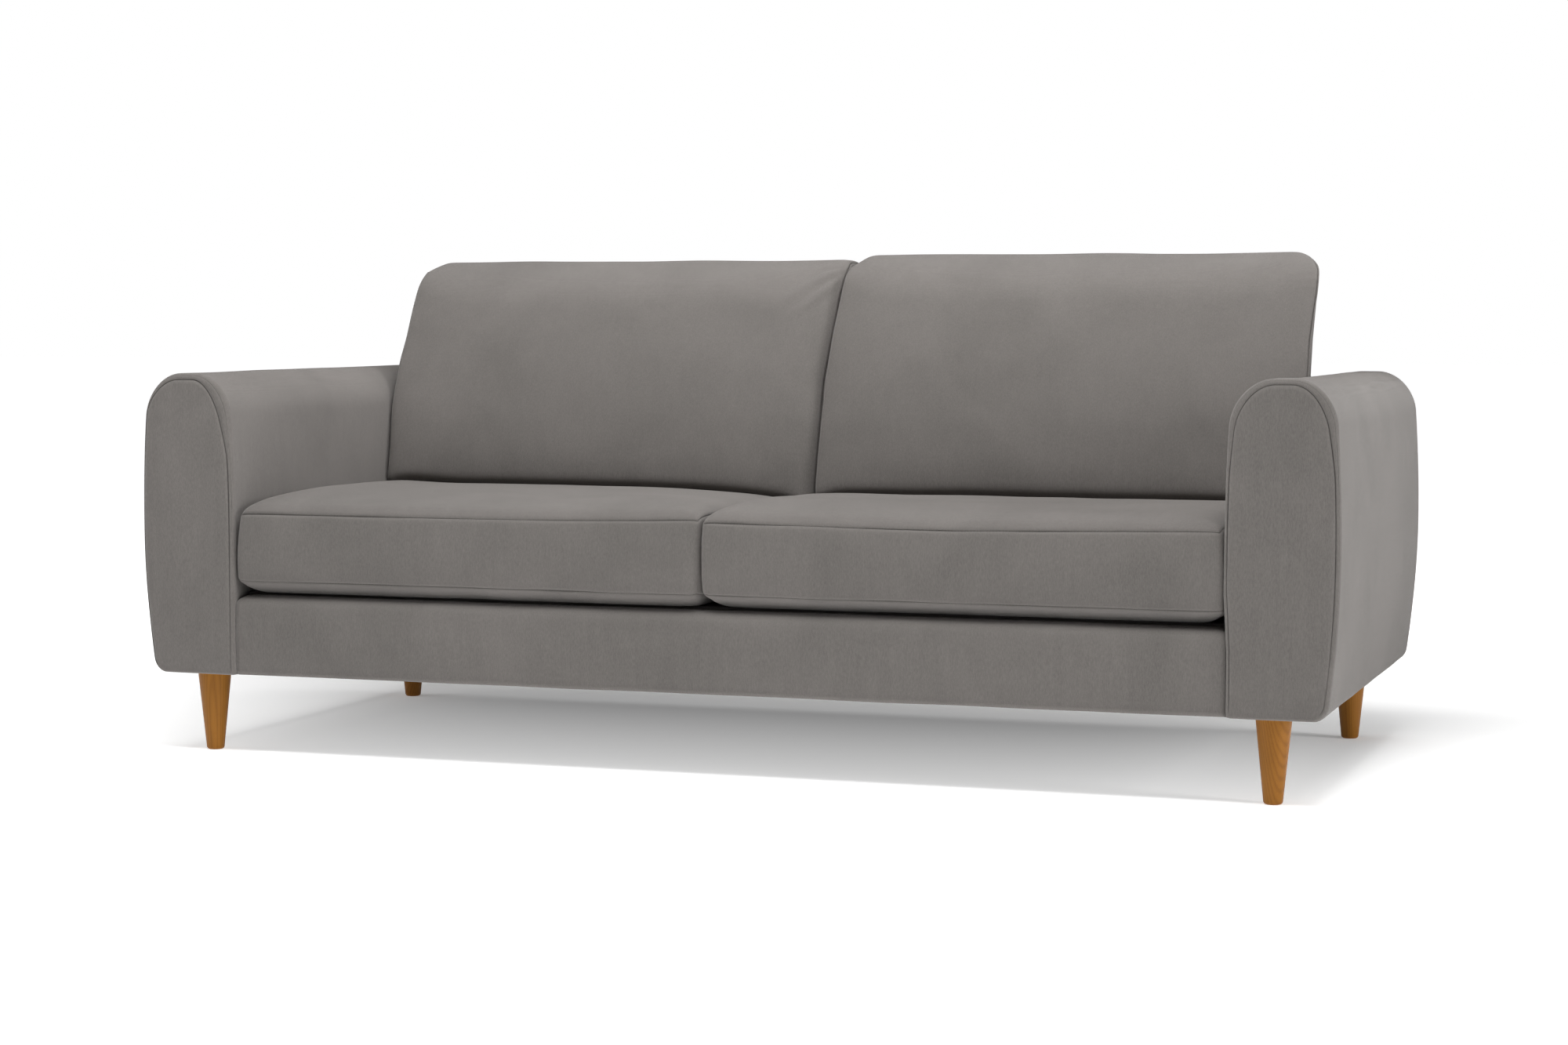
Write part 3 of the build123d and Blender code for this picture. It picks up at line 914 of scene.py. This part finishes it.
grey_thread = spun_thread("grey_sewing_thread")
seat_tops = {}
for side, sign in both_sides:
    low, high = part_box(f"seat_cushion_cover_{side}")
    width, depth, _ = high - low
    border = seat_border_high - seat_border_low
    bm = grid_block([round(s / cushion_grid) for s in (width, depth, border)])
    for e in bm.edges:
        e.seam = on_rim(e, 2)
    for v in bm.verts:
        across, along, up = v.co
        side_gap = (1 - abs(across)) * width / 2
        end_gap = (1 - abs(along)) * depth / 2
        edge = min(side_gap, end_gap)
        outer, inner = max(0.0, across * sign), max(0.0, -across * sign)
        under_roll_side = seat_under_roll_outer[side] if outer else seat_under_roll_inner
        tucked = max(1 - end_gap / seat_under_roll[side], 1 - side_gap / under_roll_side, 0.0)
        corner_top, corner_low = seat_corner[side]
        corner = corner_top + (corner_low - corner_top) * ramp(up, *seat_corner_fall)
        if outer:
            corner = seat_corner_at_arm[side]
        side_gap, end_gap = ease_corner(side_gap, end_gap, corner)
        drawn = (seat_end_drawn[side] + seat_end_lean * up) * outer ** 4
        drawn += sign * seat_meeting * inner ** 4
        swell = seat_border_swell * (1 - up * up) if edge < 1e-6 else 0.0
        half_x = width / 2 - side_gap - drawn + (swell if close_to(abs(across), 1) else 0)
        half_y = depth / 2 - end_gap + (swell if close_to(abs(along), 1) else 0)
        y = (low.y + high.y) / 2 + math.copysign(half_y, along)
        # the back cushion presses the rear of the seat down, most of all under itself
        pressed = seat_pressed[side] * ramp(y, *seat_pressed_depth) * (1 - outer ** 8)
        pressed += seat_dent * ramp(y, *seat_dent_depth)
        pressed += seat_droop[side] * inner ** 2.6 * ramp(y, *seat_droop_depth)
        rise = seat_inner_rise[side] * inner ** 2 + seat_outer_rise[side] * outer
        rise *= ramp(y, *seat_rise_depth)
        arch = (1 - along * along) ** seat_crown_roll
        top = seat_border_high + rise + seat_side_bow * arch - pressed
        z = seat_border_low + (up + 1) / 2 * (top - seat_border_low)
        if close_to(up, 1):
            outer_fullness, inner_fullness = seat_crown_fullness[side]
            fullness = outer_fullness if outer else inner_fullness
            z += seat_crown * (1 - across ** fullness) ** 0.5 * arch
            z += seat_lip * min(1.0, edge / seat_lip_reach) ** 0.4
        if close_to(up, -1):
            z -= seat_border_low * (1 - tucked ** 2.2)
        v.co = ((low.x + high.x) / 2 + math.copysign(half_x, across), y, low.z + z)
    bm = refine(bm, f"seat_cushion_{side}", cushion_pressure, seat_swell_limit)
    line = sink_seam(bm, [e for e in bm.edges if e.seam], *seat_seam)
    make_uneven(bm, seat_ripple_seed[side], *seat_ripple)
    # it lies on the deck, between the arm and the other cushion
    nearest = sign * seat_meeting + cushion_gap
    for v in bm.verts:
        v.co.z = max(v.co.z, low.z)
        v.co.x = sign * max(nearest, min(seat_reach[side], sign * v.co.x))
    bm.verts.index_update()
    bm.normal_update()
    new_piece(
        sew(line),
        f"seat_stitching_{side}",
        grey_thread,
        f"seat_cushion_{side}",
        [],
    )
    cushion = new_piece(
        bm,
        f"seat_cushion_{side}",
        grey_cloth,
        f"seat_cushion_{side}",
        [f"seat_cushion_cover_{side}", f"seat_cushion_core_{side}"],
    )
    seat_tops[side] = BVHTree.FromPolygons(
        [v.co for v in cushion.data.vertices], [f.vertices for f in cushion.data.polygons]
    )

# The back cushions: fibre filling in a cover whose front panel rolls over the top, with a gusset
# sewn into each end. They lean on the back and stand on the seat cushions.
recline = math.tan(math.radians(17.5))
crease_y = 0.137
crease_z = 0.449
back_top_offset = {"left": -0.001, "right": 0.008}
back_mean_depth = 0.185
back_rear_y = 0.3513
back_rear_z = 0.2823
back_reach = 0.8674
back_top_roll = 0.092
back_top_roll_fall = 0.034
back_rear_roll = 0.042
back_low_roll = 0.010
back_end_roll = {"left": 0.026, "right": 0.038}
back_inner_roll = {"left": 0.018, "right": 0.040}
back_front_depth = 0.06
back_puff = 0.013
back_puff_lift = 0.3
back_top_bow = 0.014
back_top_bow_start = 0.45
back_end_forward = {"left": 0.014, "right": 0.0}
back_end_forward_fade = (0.15, 0.27)
back_inner_turn = {"left": 0.017, "right": 0.0}
back_inner_turn_width = 0.036
back_gusset_swell = 0.004
# how far an end is drawn in at its foot, then steps of size, start height, end height and power
back_end_line = {
    "left": (
        -0.001,
        ((-0.004, 0.50, 0.58, 1), (0.010, 0.68, 0.80, 1), (0.006, 0.785, 0.845, 1.6)),
    ),
    "right": (0.002, ((-0.020, 0.59, 0.65, 1), (-0.006, 0.72, 0.81, 1))),
}
back_meeting_line = (-0.006, ((0.014, 0.64, 0.80, 1), (0.006, 0.80, 0.86, 1)))
back_end_taper = 0.030
back_end_taper_rise = (0.57, 0.65)
seat_rest_margin = 0.013
seat_rest_gap = 0.0015
seat_rest_rise = 0.12
back_swell_limit = 0.004
back_seam = (0.0016, 0.0026, 0.6)
back_cushion_ripple = (0.15, 0.0020)
back_cushion_ripple_seed = {"left": 30, "right": 32}
back_relief_facing = -0.3
fold_corner = (0.012, 0.852)
fold_height = 0.0036
# in degrees: how far the hollow points down from level, and how far off its two crests lie
fold_direction = 36.5
fold_spread = 17.5
fold_spread_fall = 9
fold_spread_reach = (0.036, 0.116)
fold_fan = 2.3
fold_start = (0.008, 0.030)
fold_end = (0.050, 0.145)
gather_height = 0.0007
gather_pitch = 0.0135
gather_across = (0.850, 0.878)
gather_low = (0.75, 0.78)
gather_high = (0.85, 0.83)


def drawn_line(z, foot, steps):
    """How far an end is drawn in at a height."""
    return foot + sum(size * ramp(z, start, end) ** power for size, start, end, power in steps)


def corner_folds(point):
    """Soft folds that fan out over the front from the corner where the two back cushions meet."""
    left, down = fold_corner[0] - point.x, fold_corner[1] - point.z
    reach = math.hypot(left, down)
    angle = math.degrees(math.atan2(down, left)) - fold_direction
    spread = fold_spread - fold_spread_fall * ramp(reach, *fold_spread_reach)
    fan = max(0.0, 1 - abs(angle) / (fold_fan * spread)) ** 0.5
    length = ramp(reach, *fold_start) * (1 - ramp(reach, *fold_end))
    return -fold_height * fan * length * math.cos(math.pi * angle / spread)


def end_gathers(point):
    """Small gathers where the front panel is eased into the gusset of the right cushion."""
    part = ramp(point.x, *gather_across) * ramp(point.z, *gather_low) * ramp(point.z, *gather_high)
    return gather_height * part * math.sin(2 * math.pi * point.z / gather_pitch)


for side, sign in both_sides:
    low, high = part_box(f"back_cushion_cover_{side}")
    seat_low, seat_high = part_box(f"seat_cushion_cover_{side}")
    width = high.x - low.x
    top_z = high.z + back_top_offset[side]
    height = top_z - crease_z
    low_thickness = back_rear_y + (crease_z - back_rear_z) * back_lean - crease_y
    top_thickness = low_thickness + height * (back_lean - recline)
    bm = grid_block([round(s / cushion_grid) for s in (width, back_mean_depth, height)])
    for e in bm.edges:
        e.seam = on_rim(e, 0)
    for v in bm.verts:
        across, along, up = v.co
        rise = (up + 1) / 2 * height
        thick = low_thickness + (top_thickness - low_thickness) * rise / height
        front = (along + 1) / 2 * thick
        top_roll = back_top_roll - back_top_roll_fall * across ** 6
        front, top = ease_corner(front, height - rise, top_roll)
        rear, top = ease_corner(thick - front, top, back_rear_roll)
        rise = height - top
        rear, rise = ease_corner(rear, rise, back_low_roll)
        front = thick - rear
        front, rise = ease_corner(front, rise, back_low_roll)
        level = max(0.0, 1 - across * across)
        upright = max(0.0, 1 - up * up)
        forward = 1 - ramp(front, 0, back_front_depth)
        belly = math.sin(math.pi * math.sqrt(ramp(rise, 0, height)))
        puff = back_puff * level ** 0.5 * belly * forward
        outward = across * sign > 0
        end = (1 - abs(across)) * width / 2
        end_roll = (back_end_roll if outward else back_inner_roll)[side]
        end, top = ease_corner(end, height - rise, end_roll)
        rise = height - top
        rearward = ramp(front, 0, thick)
        bow = ramp(rise, back_top_bow_start * height, height) ** 2 * (1 - rearward)
        y = crease_y + rise * recline + front - puff + back_top_bow * bow
        z = crease_z + rise + puff * back_puff_lift
        gusset = 0.0
        if outward:
            low_down = 1 - ramp(rise, *back_end_forward_fade)
            y -= back_end_forward[side] * abs(across) ** 3 * upright ** 0.3 * forward * low_down
            # above the arms the end swells out; its rear stays drawn in
            drawn = drawn_line(z, *back_end_line[side])
            drawn += back_end_taper * rearward * ramp(z, *back_end_taper_rise)
            if close_to(abs(across), 1):
                gusset = back_gusset_swell * upright * (1 - along * along)
        else:
            drawn = sign * drawn_line(z, *back_meeting_line)
            turned = (1 - ramp(end, 0, back_inner_turn_width)) ** 2
            y += back_inner_turn[side] * turned * forward
        half_x = width / 2 - end - drawn * across ** 4 + gusset
        x = (low.x + high.x) / 2 + math.copysign(half_x, across)
        # the underside takes the shape of the seat cushion that it stands on
        inside_x = max(seat_low.x + seat_rest_margin, min(seat_high.x - seat_rest_margin, x))
        inside_y = min(seat_high.y - seat_rest_margin, y)
        above = Vector((inside_x, inside_y, top_z))
        below = seat_tops[side].ray_cast(above, Vector((0, 0, -1)))[0]
        z += (below.z + seat_rest_gap - crease_z) * max(0.0, 1 - rise / seat_rest_rise)
        v.co = (x, y, z)
    bm = refine(bm, f"back_cushion_{side}", cushion_pressure, back_swell_limit)
    sink_seam(bm, [e for e in bm.edges if e.seam], *back_seam)
    bm.normal_update()
    for v in bm.verts:
        relief = ripple(v.co, back_cushion_ripple_seed[side], *back_cushion_ripple)
        if v.normal.y < back_relief_facing:
            relief += corner_folds(v.co) if side == "left" else end_gathers(v.co)
        v.co += v.normal * relief
        # the two cushions press flat against each other, and lie between the arms
        contact = drawn_line(v.co.z, *back_meeting_line)
        v.co.x = sign * max(sign * v.co.x, sign * contact + cushion_gap)
        if v.co.z < arm_top - arm_crown:
            rise = ramp(v.co.z, arm_low + arm_bulge_rise, arm_top)
            limit = back_reach + arm_lean_top * rise * rise
            v.co.x = max(-limit, min(limit, v.co.x))
    cushion = new_piece(
        bm,
        f"back_cushion_{side}",
        grey_cloth,
        f"back_cushion_{side}",
        [f"back_cushion_cover_{side}", f"back_cushion_core_{side}"],
    )

# The studio: a seamless white floor under two large soft lights overhead, the rear one set to the
# right, with one more high on the left, one low on the left and one far off to the right. The
# camera stands in front, on the right, a little higher than the arms.
# painted light: the floor glows, brighter in front of the sofa than under and behind it, and full
# white far off
floor_glow_rear = (0.15, 0.15, 0.15)
floor_glow_front = (0.56, 0.56, 0.56)
floor_glow_far = (1.0, 1.0, 1.0)
floor_glow_depth = (0.55, -0.40)
floor_glow_reach = (1.5, 3.0)
floor_paint_low = (0.90, 0.90, 0.90)
floor_paint_high = (0.92, 0.92, 0.92)
floor_half = 40
ambient = 0.03
# each light has a name, a place, a point it faces, a size and a power in watts
soft_lights = (
    ("overhead", (1.2, 0.3, 3.4), (0, 0.1, 0.4), (3.6, 2.6), 58),
    ("over_middle", (0, -1.2, 3.4), (0, 0.2, 0.5), (3.6, 1.2), 147),
    ("high_left", (-3.2, -0.6, 3.2), (0.6, 0, 0.5), (1.8, 1.8), 16),
    ("far_right", (9.0, -1.2, 2.4), (-0.6, 0, 0.5), (3.0, 3.0), 410),
    ("left_side", (-4.2, -1.2, 1.4), (-1.0, 0, 0.4), (2.0, 2.0), 17),
)
camera_lens = 70.18
camera_sensor = 36
camera_place = (1.7623, -5.1393, 0.7693)
camera_dip = 3.942
camera_turn = 19.064
floor_paint, shade, place = new_finish("white_floor")
grain = stretched_noise(shade, place, (30, 30, 30), 3.0)
reach = shade.node("ShaderNodeVectorMath", {"operation": "LENGTH"}, {0: place}, "Value")
start, end = floor_glow_reach
far = shade.node("ShaderNodeMapRange", {}, {0: reach, 1: start, 2: end})
depth = shade.node("ShaderNodeSeparateXYZ", {}, {0: place}, "Y")
start, end = floor_glow_depth
forward = shade.node("ShaderNodeMapRange", {}, {0: depth, 1: start, 2: end})
near = forward.mix(floor_glow_rear, floor_glow_front)
set_shader(floor_paint, {
    "Base Color": grain.mix(floor_paint_low, floor_paint_high),
    "Roughness": 0.9,
    "Specular IOR Level": 0.1,
    "Emission Color": far.mix(near, floor_glow_far),
    "Emission Strength": 1.0,
})
bm = bmesh.new()
bmesh.ops.create_grid(bm, x_segments=4, y_segments=4, size=floor_half)
mesh = bpy.data.meshes.new("studio_floor")
bm.to_mesh(mesh)
bm.free()
mesh.materials.append(floor_paint)
studio_floor = bpy.data.objects.new("studio_floor", mesh)
bpy.context.scene.collection.objects.link(studio_floor)

world = bpy.data.worlds.new("studio")
world.use_nodes = True
sky = world.node_tree.nodes["Background"]
sky.inputs["Color"].default_value = (1, 1, 1, 1)
shade = Shade(world.node_tree)
seen = shade.node("ShaderNodeLightPath", {}, {}, "Is Camera Ray")
world.node_tree.links.new((seen * (1 - ambient) + ambient).socket, sky.inputs["Strength"])
bpy.context.scene.world = world

for name, spot, target, size, power in soft_lights:
    light = bpy.data.lights.new(name, "AREA")
    light.shape = "RECTANGLE"
    light.size, light.size_y = size
    light.energy = power
    soft_box = bpy.data.objects.new(name, light)
    soft_box.location = spot
    aim = Vector(target) - Vector(spot)
    soft_box.rotation_euler = aim.to_track_quat("-Z", "Y").to_euler()
    bpy.context.scene.collection.objects.link(soft_box)

lens = bpy.data.cameras.new("photo_camera")
lens.lens = camera_lens
lens.sensor_width = camera_sensor
lens.sensor_fit = "HORIZONTAL"
camera = bpy.data.objects.new("photo_camera", lens)
camera.location = camera_place
camera.rotation_euler = (math.radians(90 - camera_dip), 0, math.radians(camera_turn))
bpy.context.scene.collection.objects.link(camera)
bpy.context.scene.camera = camera
bpy.context.scene.view_settings.view_transform = "Standard"
